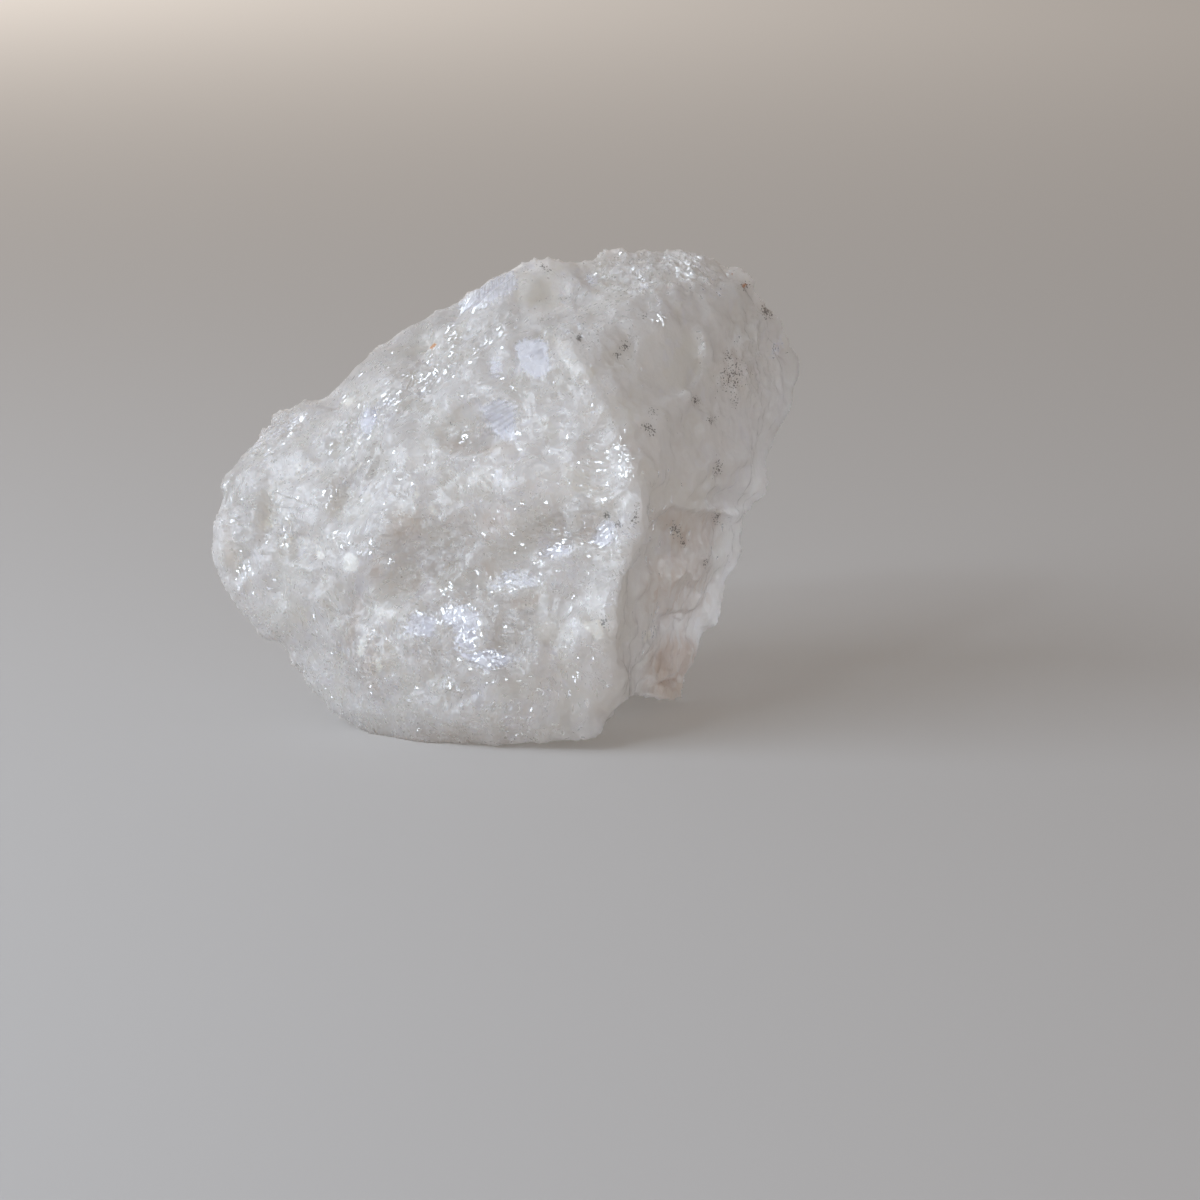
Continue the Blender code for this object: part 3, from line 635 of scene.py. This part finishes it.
def stepsAt(places, normals):
    # mm that the small steps stand out, how many steps up a place is, and how strong they are there
    spots = shownAt(places)
    facing = facingAt(normals)
    wobble = noiseAt(places, "stepEdges") * 0.3
    wander = noiseAt(places, "wander") * stone["wander"]
    spacing, height, swing = stone["hiddenSteps"]
    phase = noiseAt(places, "hiddenSteps") * swing / spacing
    strong = (1 - facing) * smoothStep(noiseAt(places, "hiddenPlaces"), -0.2, 0.2) * height
    total = strong * sawtooth(phase)
    for place in stone["steps"]:
        if "ring" in place:
            reach = np.hypot(*(spots - np.array(place["ring"])).T)
        else:
            way = math.radians(place["way"])
            reach = spots @ np.array((math.cos(way), math.sin(way)))
        reach = (reach + wander * place.get("wander", 1.0)) / place["spacing"]
        share = patch(spots, wobble, {**place, "edge": stone["stepEdge"]}) * facing * place["height"]
        total += share * sawtooth(reach)
        phase = np.where(share > strong, reach, phase)
        strong = np.maximum(strong, share)
    return total, phase, strong


def ledgesAt(places):
    # mm that the ledges stand out on their high side and drop on the other
    spots = shownAt(places) + stone["ledgeWander"] * noiseAt(places, "ledgeEdges")[:, None]
    total = np.zeros(len(spots))
    for ledge in stone["ledges"]:
        corners = np.array(ledge["line"])
        near = np.full(len(spots), farAway)
        high = np.zeros(len(spots))
        along = np.zeros(len(spots))
        for i, (first, second) in enumerate(zip(corners[:-1], corners[1:])):
            way = second - first
            offset = spots - first
            share = np.clip(offset @ way / (way @ way), 0, 1)
            reach = np.hypot(*(offset - share[:, None] * way).T)
            closer = reach < near
            near = np.where(closer, reach, near)
            side = (way[0] * offset[:, 1] - way[1] * offset[:, 0]) / np.hypot(*way)
            high = np.where(closer, np.clip(side / stone["ledgeSlope"], -1, 1), high)
            along = np.where(closer, (i + share) / (len(corners) - 1), along)
        end = stone["ledgeEnds"]
        ends = smoothStep(along, 0.0, end) * (1 - smoothStep(along, 1 - end, 1.0))
        total += 0.5 * ledge["height"] * ends * high * np.exp(-near / ledge["width"])
    return total


def swellsAt(places):
    spots = shownAt(places)
    total = np.zeros(len(spots))
    for place in stone["swells"]:
        inside = patch(spots, 0, {**place, "edge": 2 * min(place["half"])})
        total += place["height"] * smoothStep(inside, 0.5, 1.0)
    return total


def reliefAt(places, normals):
    # mm that each place moves along its normal
    masks = masksAt(places, normals, ("smooth", "rough", "sheen"))
    lostFlakes, bySheen, lostSteps = stone["calm"]
    calm = 1 - lostFlakes * np.clip(masks["smooth"] + bySheen * masks["sheen"], 0, 1)
    move = stepsAt(places, normals)[0] * (1 - lostSteps * masks["smooth"])
    move += (ledgesAt(places) + swellsAt(places)) * facingAt(normals)
    for size, lean, bowl, anywhere, onRough in stone["flakes"]:
        move += flakes(places, size, lean, bowl, size) * (anywhere + onRough * masks["rough"]) * calm
    left, slope = stone["rim"]
    return move * (left + (1 - left) * smoothStep(np.abs(normals @ viewAway), 0.0, slope))


def grainAt(places, normals):
    # which way small broken faces are drawn out, in half turns: its own for each small patch
    spots = shownAt(places)
    facing = facingAt(normals)
    strength, size, layers = stone["warp"]
    warp = [layeredNoise(places, size, layers, 40.0 + 9 * i) for i in range(3)]
    warped = places + strength * np.stack(warp, axis=1)
    turns = domains(warped, stone["grainPatch"])
    for place in stone["glints"]:
        if "way" in place:
            inside = patch(spots, 0, place) * facing > 0.15 * place["amount"]
            turns = np.where(inside, (place["way"] + 90) / 180 % 1, turns)
    turns = np.where(rightAt(normals) > 0.5, 0, turns)  # upright on the right
    return turns, domains(warped, stone["grainPatch"], 50.0)


def makeStone():
    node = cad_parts["quartz_crystal"]
    made = bpy.data.objects.new("quartz_chunk", node.data.copy())
    bpy.context.scene.collection.objects.link(made)
    mesh = applied(made, "REMESH", {"mode": "VOXEL", "voxel_size": stone["voxel"] * mm})
    places = meshArrays(mesh)[0]
    base = places[:, 2] < stone["base"] * mm
    settled = smoothed(mesh, places, stone["smoothing"])
    settled[base] = places[base]
    setPlaces(mesh, settled)
    print("stone grid", len(mesh.vertices), "points")

    places, normals = meshArrays(mesh)
    places = places / mm
    move = reliefAt(places, normals)
    move[base] = 0
    places = places + normals * move[:, None]
    places[:, 2] = np.maximum(places[:, 2], 0)
    setPlaces(mesh, places * mm)
    triangles = sum(len(face.vertices) - 2 for face in mesh.polygons)
    mesh = applied(made, "DECIMATE", {"ratio": stone["triangles"] / triangles})
    mesh.name = "quartz_chunk"
    print("stone", len(mesh.vertices), "points", len(mesh.polygons), "faces")

    # what the material needs to know at each point
    places, normals = meshArrays(mesh)
    places = places / mm
    masks = masksAt(places, normals, (
        "smooth", "rough", "sheen", "glints", "milk", "chips", "clear", "ribs", "bars", "feathers",
        "crust", "soot", "rust", "brown"))
    masks["right"] = rightAt(normals)
    masks["rim"] = 1 - smoothStep(np.abs(normals @ viewAway), 0.05, 0.4)
    masks["stepPhase"], masks["stepHeight"] = stepsAt(places, normals)[1:]
    masks["patchTurn"], masks["patchTint"] = grainAt(places, normals)
    masks["veils"] = noiseAt(places, "veils")
    masks["glints"] *= facingAt(normals, 0.15, 0.4)
    seen = facingAt(normals, 0.1, 0.4)[:, None]
    for name, box in (("toWindow", "window"), ("toGlint", "glint")):
        masks[name] = unit(normals + seen * (mirrorAt(places, box) - normals))
    for name, values in masks.items():
        setNumbers(mesh, name, values)
    mesh.shade_smooth()
    mesh.set_sharp_from_angle(angle=math.radians(stone["sharpFrom"]))
    mesh.materials.clear()
    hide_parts("quartz_crystal")
    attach(made, "root")
    return made


class Wire:
    # a socket that can stand in a sum
    def __init__(self, shader, socket):
        self.shader = shader
        self.socket = socket

    def maths(self, operation, first, second):
        return self.shader.node("ShaderNodeMath", {"operation": operation}, {0: first, 1: second})

    def __add__(self, other):
        return self.maths("ADD", self, other)

    __radd__ = __add__

    def __sub__(self, other):
        return self.maths("SUBTRACT", self, other)

    def __rsub__(self, other):
        return self.maths("SUBTRACT", other, self)

    def __mul__(self, other):
        return self.maths("MULTIPLY", self, other)

    __rmul__ = __mul__


class Shader:
    def __init__(self, name):
        self.material = bpy.data.materials.new(name)
        self.material.use_nodes = True
        self.tree = self.material.node_tree
        self.tree.nodes.clear()

    def node(self, kind, settings=None, sockets=None, output=0):
        made = self.tree.nodes.new(kind)
        for name, value in (settings or {}).items():
            setattr(made, name, value)
        for name, value in (sockets or {}).items():
            if isinstance(value, Wire):
                self.tree.links.new(value.socket, made.inputs[name])
            else:
                made.inputs[name].default_value = value
        if made.outputs:
            return Wire(self, made.outputs[output])

    def between(self, value, fromLow, fromHigh, low=0.0, high=1.0):
        return self.node("ShaderNodeMapRange", {"clamp": True}, {
            "Value": value, "From Min": fromLow, "From Max": fromHigh, "To Min": low, "To Max": high})

    def blend(self, share, first, second):
        # 6 and 7 are the colour sockets of a Mix node
        return self.node("ShaderNodeMix", {"data_type": "RGBA"}, {0: share, 6: first, 7: second}, 2)

    def maths(self, operation, first):
        return self.node("ShaderNodeMath", {"operation": operation}, {0: first})

    def vector(self, operation, first, second):
        return self.node("ShaderNodeVectorMath", {"operation": operation}, {0: first, 1: second})

    def scaled(self, first, share):
        return self.node("ShaderNodeVectorMath", {"operation": "SCALE"}, {0: first, "Scale": share})

    def towards(self, first, second, share):
        return self.vector("ADD", first, self.scaled(self.vector("SUBTRACT", second, first), share))

    def unit(self, first):
        return self.node("ShaderNodeVectorMath", {"operation": "NORMALIZE"}, {0: first})

    def noise(self, place, scale, detail, roughness):
        return self.node("ShaderNodeTexNoise", {}, {
            "Vector": place, "Scale": scale, "Detail": detail, "Roughness": roughness})

    def parts(self, first):
        made = self.node("ShaderNodeSeparateXYZ", {}, {0: first}).socket.node
        return [Wire(self, made.outputs[i]) for i in range(3)]

    def drawn(self, name, output=2):
        # numbers that makeStone left on the mesh: output 2 for single ones, 1 for vectors
        return self.node("ShaderNodeAttribute", {"attribute_name": name}, output=output)


barTurn = math.radians(30)
quartz = {
    "milk": (0.89, 0.88, 0.87, 1),
    "grey": (0.82, 0.81, 0.80, 1),
    "olive": (0.85, 0.84, 0.79, 1),
    "lavender": (0.85, 0.85, 0.91, 1),
    "brown": (0.68, 0.56, 0.47, 1),
    "cream": (0.97, 0.95, 0.88, 1),
    # painted bluish reflection of the window, laid on sheets and glints
    "sheen": (0.76, 0.78, 0.91, 1),
    "soot": (0.16, 0.145, 0.135, 1),
    "rust": (0.50, 0.22, 0.08, 1),
    "clear": (0.98, 0.98, 0.98, 1),
    "ior": 1.544,
    "absorption": (0.92, 0.86, 0.80, 1),
    "absorptionDensity": 8.0,
    "glow": ((1.0, 0.95, 0.9), 6.0),  # how far each colour spreads within the milk: shares, mm
    "milkShare": 0.51,  # the rest is seen through
    "milkBy": {  # what adds to it
        "strands": 0.5, "tints": 0.06, "veils": 0.05, "rim": 0.2, "brown": 0.12, "milk": 0.2, "clear": -0.16,
        "chips": 0.3, "feathers": 0.25, "specks": 1.0, "smudges": 0.3,
    },
    "fine": (2.6, 1.0, 0.6),  # noises: scale per mm, detail, roughness
    "ragged": (4.5, 1.0, 0.7),
    "strands": (1.3, 2.5, 0.75),
    "edges": {  # how far the fine and the ragged noise fray each finish, and where its edge begins and ends
        "sheen": (0.9, 0.3, 0.34, 0.68),
        "milk": (0.0, 0.8, 0.3, 0.8),
        "chips": (0.0, 0.5, 0.46, 0.54),
        "crust": (0.0, 0.6, 0.45, 0.55),
        "soot": (0.8, 1.5, 0.57, 0.65),
        "rust": (0.0, 0.8, 0.55, 0.65),
    },
    "lace": (0.025, 0.05),  # how wide the crust's threads are in the fine noise
    "flakes": (0.8, 0.3),  # mm
    "tilts": (0.60, 0.40),  # how far the flakes of each size lean
    "lean": (0.4, 1.2),  # the share of that everywhere, and what rough places add
    "quiet": {"smooth": 0.7, "right": 0.5, "sheen": 0.6, "rim": 0.8},  # the share of it that is lost there
    "drawOut": (1.0, 1.0, 0.32),  # how much shorter than wide a flake is
    "bumps": (0.8, 0.03),  # mm: the small steps' share of their height, the fine noise
    "sheenTurn": (0.75, 0.2),  # how far a sheet turns to the window, how far its flakes spread from that
    "glint": 0.42,  # how many flakes turn to the light
    "clumps": (0.35, 0.6, 0.2, 1.4),  # in the fine noise, so that they lie in clumps
    "gloss": {"range": (0.12, 0.44), "right": 0.6, "shiny": -2.0, "rim": 0.4},
    "waves": {  # direction across the ridges, mm from one to the next, height
        "ribs": ((1.0, 0.0, 0.0), 0.6, 0.6),
        "bars": (tuple(math.cos(barTurn) * viewUp - math.sin(barTurn) * viewRight), 0.7, 0.55),
    },
    "waveBend": 0.5,  # mm that the veils bend the ridges
}


def quartzMaterial():
    s = Shader("milky_quartz")
    place = s.scaled(s.node("ShaderNodeTexCoord", output=3), 1 / mm)
    right, rim, smooth, rough = s.drawn("right"), s.drawn("rim"), s.drawn("smooth"), s.drawn("rough")
    veils, patchTint, brown, smudges = s.drawn("veils"), s.drawn("patchTint"), s.drawn("brown"), s.drawn("soot")
    fine, ragged = s.noise(place, *quartz["fine"]), s.noise(place, *quartz["ragged"])
    frayed = {}
    for name, (byFine, byRagged, low, high) in quartz["edges"].items():
        frayed[name] = s.between(s.drawn(name) + byFine * (fine - 0.5) + byRagged * (ragged - 0.5), low, high)
    sheen = frayed["sheen"]

    # small broken faces, drawn out along the grain of their patch
    grain = s.node("ShaderNodeVectorRotate", {"rotation_type": "AXIS_ANGLE"}, {
        "Vector": place, "Axis": tuple(viewAway), "Angle": s.drawn("patchTurn") * math.pi})
    grain = s.vector("MULTIPLY", grain, quartz["drawOut"])
    cells = [s.node("ShaderNodeTexVoronoi", {}, {"Vector": grain, "Scale": 1 / size}, 1)
             for size in quartz["flakes"]]
    middle, small = [s.parts(cell) for cell in cells]
    leans = [s.vector("SUBTRACT", cell, (0.5, 0.5, 0.5)) for cell in cells]
    glints = quartz["glint"] * s.drawn("glints") * s.between(fine, *quartz["clumps"])
    glint = s.between(small[0] + glints, 1.0, 1.01)

    normal = s.node("ShaderNodeNewGeometry", output=1)
    anywhere, onRough = quartz["lean"]
    calm = anywhere + onRough * rough
    for name, share in (("smooth", smooth), ("right", right), ("sheen", sheen), ("rim", rim)):
        calm = calm * (1 - quartz["quiet"][name] * share)
    for lean, tilt in zip(leans, quartz["tilts"]):
        normal = s.vector("ADD", normal, s.scaled(lean, calm * tilt))
    stepBump, fineBump = quartz["bumps"]
    height = s.maths("FRACT", s.drawn("stepPhase")) * s.drawn("stepHeight") * stepBump + fine * fineBump
    normal = s.node("ShaderNodeBump", {}, {
        "Strength": 1.0, "Distance": mm, "Normal": s.unit(normal),
        "Height": height * (1 - quartz["quiet"]["rim"] * rim)})
    # some of them mirror the window or the small light
    turned, spread = quartz["sheenTurn"]
    toWindow = s.vector("ADD", s.drawn("toWindow", 1), s.scaled(leans[0], spread))
    normal = s.towards(normal, toWindow, sheen * turned)
    normal = s.towards(normal, s.drawn("toGlint", 1), glint)
    for name, (direction, spacing, steep) in quartz["waves"].items():
        reach = s.node("ShaderNodeVectorMath", {"operation": "DOT_PRODUCT"}, {0: place, 1: direction}, 1)
        wave = s.maths("SINE", (reach + quartz["waveBend"] * veils) * (2 * math.pi / spacing))
        normal = s.vector("ADD", normal, s.scaled(direction, wave * s.drawn(name) * steep))
    normal = s.unit(normal)

    # colour, one finish over another, with a painted warm shade and a painted bluish reflection among them
    lace = s.maths("ABSOLUTE", fine - 0.5)
    crust = s.between(lace, *quartz["lace"], 1, 0) * frayed["crust"]
    # brown from the brown places, plus a painted warm shade on every right-facing side, turned away from the
    # window
    warm = s.between(brown * (0.6 + middle[0]), 0.2, 2.4) + 0.15 * right * (1 - s.drawn("milk"))
    colour = quartz["milk"]
    for share, name in (
        (s.between(middle[0], 0.3, 1.0), "grey"),
        (s.between(patchTint, 0.62, 0.7, 0, 0.5), "olive"),
        (s.between(middle[2] + patchTint, 0.3, 0.4, 0.5, 0), "lavender"),
        (warm, "brown"),
        (frayed["milk"] * 0.15, "cream"),
        # painted bluish reflection on sheets and glints, over their real mirroring of the lights
        (s.between(sheen + 0.6 * glint, 0, 1, 0, 0.7), "sheen"),
        (s.between(crust + frayed["chips"], 0, 1, 0, 0.7), "cream"),
        (s.between(frayed["soot"] + 0.2 * smudges, 0, 1, 0, 0.85), "soot"),
        (frayed["rust"] * 0.9, "rust"),
    ):
        colour = s.blend(share, colour, quartz[name])

    strands = s.noise(grain, *quartz["strands"])
    adds = {
        "strands": strands - 0.5, "tints": middle[1] - 0.5, "veils": veils, "rim": rim * (1 - right),
        "brown": brown, "milk": frayed["milk"], "clear": s.drawn("clear"), "chips": crust + frayed["chips"],
        "feathers": s.between(strands, 0.5, 0.56) * s.drawn("feathers"),
        "specks": frayed["soot"] + frayed["rust"], "smudges": smudges,
    }
    milkShare = quartz["milkShare"]
    for name, share in quartz["milkBy"].items():
        milkShare = milkShare + share * adds[name]
    inside = s.node("ShaderNodeNewGeometry", output=6)
    milkShare = s.between(milkShare, 0.0, 1.0) * (1 - inside)

    gloss = quartz["gloss"]
    shiny = s.between(glint * (0.3 + small[2]) + 0.4 * sheen, 0.0, 1.0)
    roughness = s.between(small[1] + gloss["right"] * right + gloss["shiny"] * shiny, -1.0, 1.4, *gloss["range"])
    roughness = roughness + gloss["rim"] * rim * (1 - shiny)

    clear = s.node("ShaderNodeBsdfPrincipled", {}, {
        "Base Color": quartz["clear"], "Roughness": roughness, "IOR": quartz["ior"],
        "Transmission Weight": 1.0, "Normal": normal})
    glowShares, glowReach = quartz["glow"]
    milk = s.node("ShaderNodeBsdfPrincipled", {}, {
        "Base Color": colour, "Roughness": roughness, "IOR": quartz["ior"],
        "Subsurface Weight": 1.0, "Subsurface Radius": glowShares,
        "Subsurface Scale": glowReach * mm, "Normal": normal})
    surface = s.node("ShaderNodeMixShader", {}, {0: milkShare, 1: clear, 2: milk})
    volume = s.node("ShaderNodeVolumeAbsorption", {}, {
        "Color": quartz["absorption"], "Density": quartz["absorptionDensity"]})
    s.node("ShaderNodeOutputMaterial", {}, {"Surface": surface, "Volume": volume})
    return s.material


paper = {"colour": (0.52, 0.52, 0.52, 1), "half": 4.0, "roughness": 0.9, "gloss": 0.1}


def makeFloor():
    half = paper["half"]
    corners = [(-half, -half, 0), (half, -half, 0), (half, half, 0), (-half, half, 0)]
    mesh = bpy.data.meshes.new("floor")
    mesh.from_pydata(corners, [], [(0, 1, 2, 3)])
    floor = bpy.data.objects.new("floor", mesh)
    bpy.context.scene.collection.objects.link(floor)
    s = Shader("paper")
    surface = s.node("ShaderNodeBsdfPrincipled", {}, {
        "Base Color": paper["colour"], "Roughness": paper["roughness"], "Specular IOR Level": paper["gloss"]})
    s.node("ShaderNodeOutputMaterial", {}, {"Surface": surface})
    mesh.materials.append(s.material)


def softbox(name, place, target, width, height, radiance, colour):
    data = bpy.data.lights.new(name, "AREA")
    data.shape = "RECTANGLE"
    data.size, data.size_y = width, height
    data.energy = radiance * math.pi * width * height
    data.color = colour
    data.use_shadow = name != "farFloor"  # it stands behind, where its shadow would fall forwards
    made = bpy.data.objects.new(name, data)
    made.location = place
    made.rotation_mode = "QUATERNION"
    made.rotation_quaternion = (Vector(target) - Vector(place)).to_track_quat("-Z", "Y")
    made.visible_camera = False
    made.visible_transmission = name == "window"  # the small ones don't show through the stone
    made.visible_glossy = name != "farFloor"
    bpy.context.scene.collection.objects.link(made)


def makeLights():
    for name, (azimuth, up, width, height, radiance, colour) in light["boxes"].items():
        softbox(name, lightPlace(name), light["target"], width, height, radiance, colour)
    softbox("farFloor", *light["farFloor"])
    world = bpy.data.worlds.new("room")
    bpy.context.scene.world = world
    world.use_nodes = True
    background = world.node_tree.nodes["Background"]
    background.inputs["Color"].default_value = (*light["room"], 1)
    background.inputs["Strength"].default_value = light["roomStrength"]


def makeCamera():
    data = bpy.data.cameras.new("camera")
    data.lens = view["lens"]
    data.sensor_width = view["sensor"]
    data.clip_start = 0.01
    data.clip_end = 20
    made = bpy.data.objects.new("camera", data)
    turn = Matrix((viewRight, viewUp, -viewAway)).transposed().to_4x4()
    turn.translation = Vector(eye * mm)
    made.matrix_world = turn
    bpy.context.scene.collection.objects.link(made)
    bpy.context.scene.camera = made


bpy.context.scene.view_settings.view_transform = "Standard"
chunk = makeStone()
chunk.data.materials.append(quartzMaterial())
print("quartz material done")
makeFloor()
makeLights()
makeCamera()
print("floor, lights and camera done")
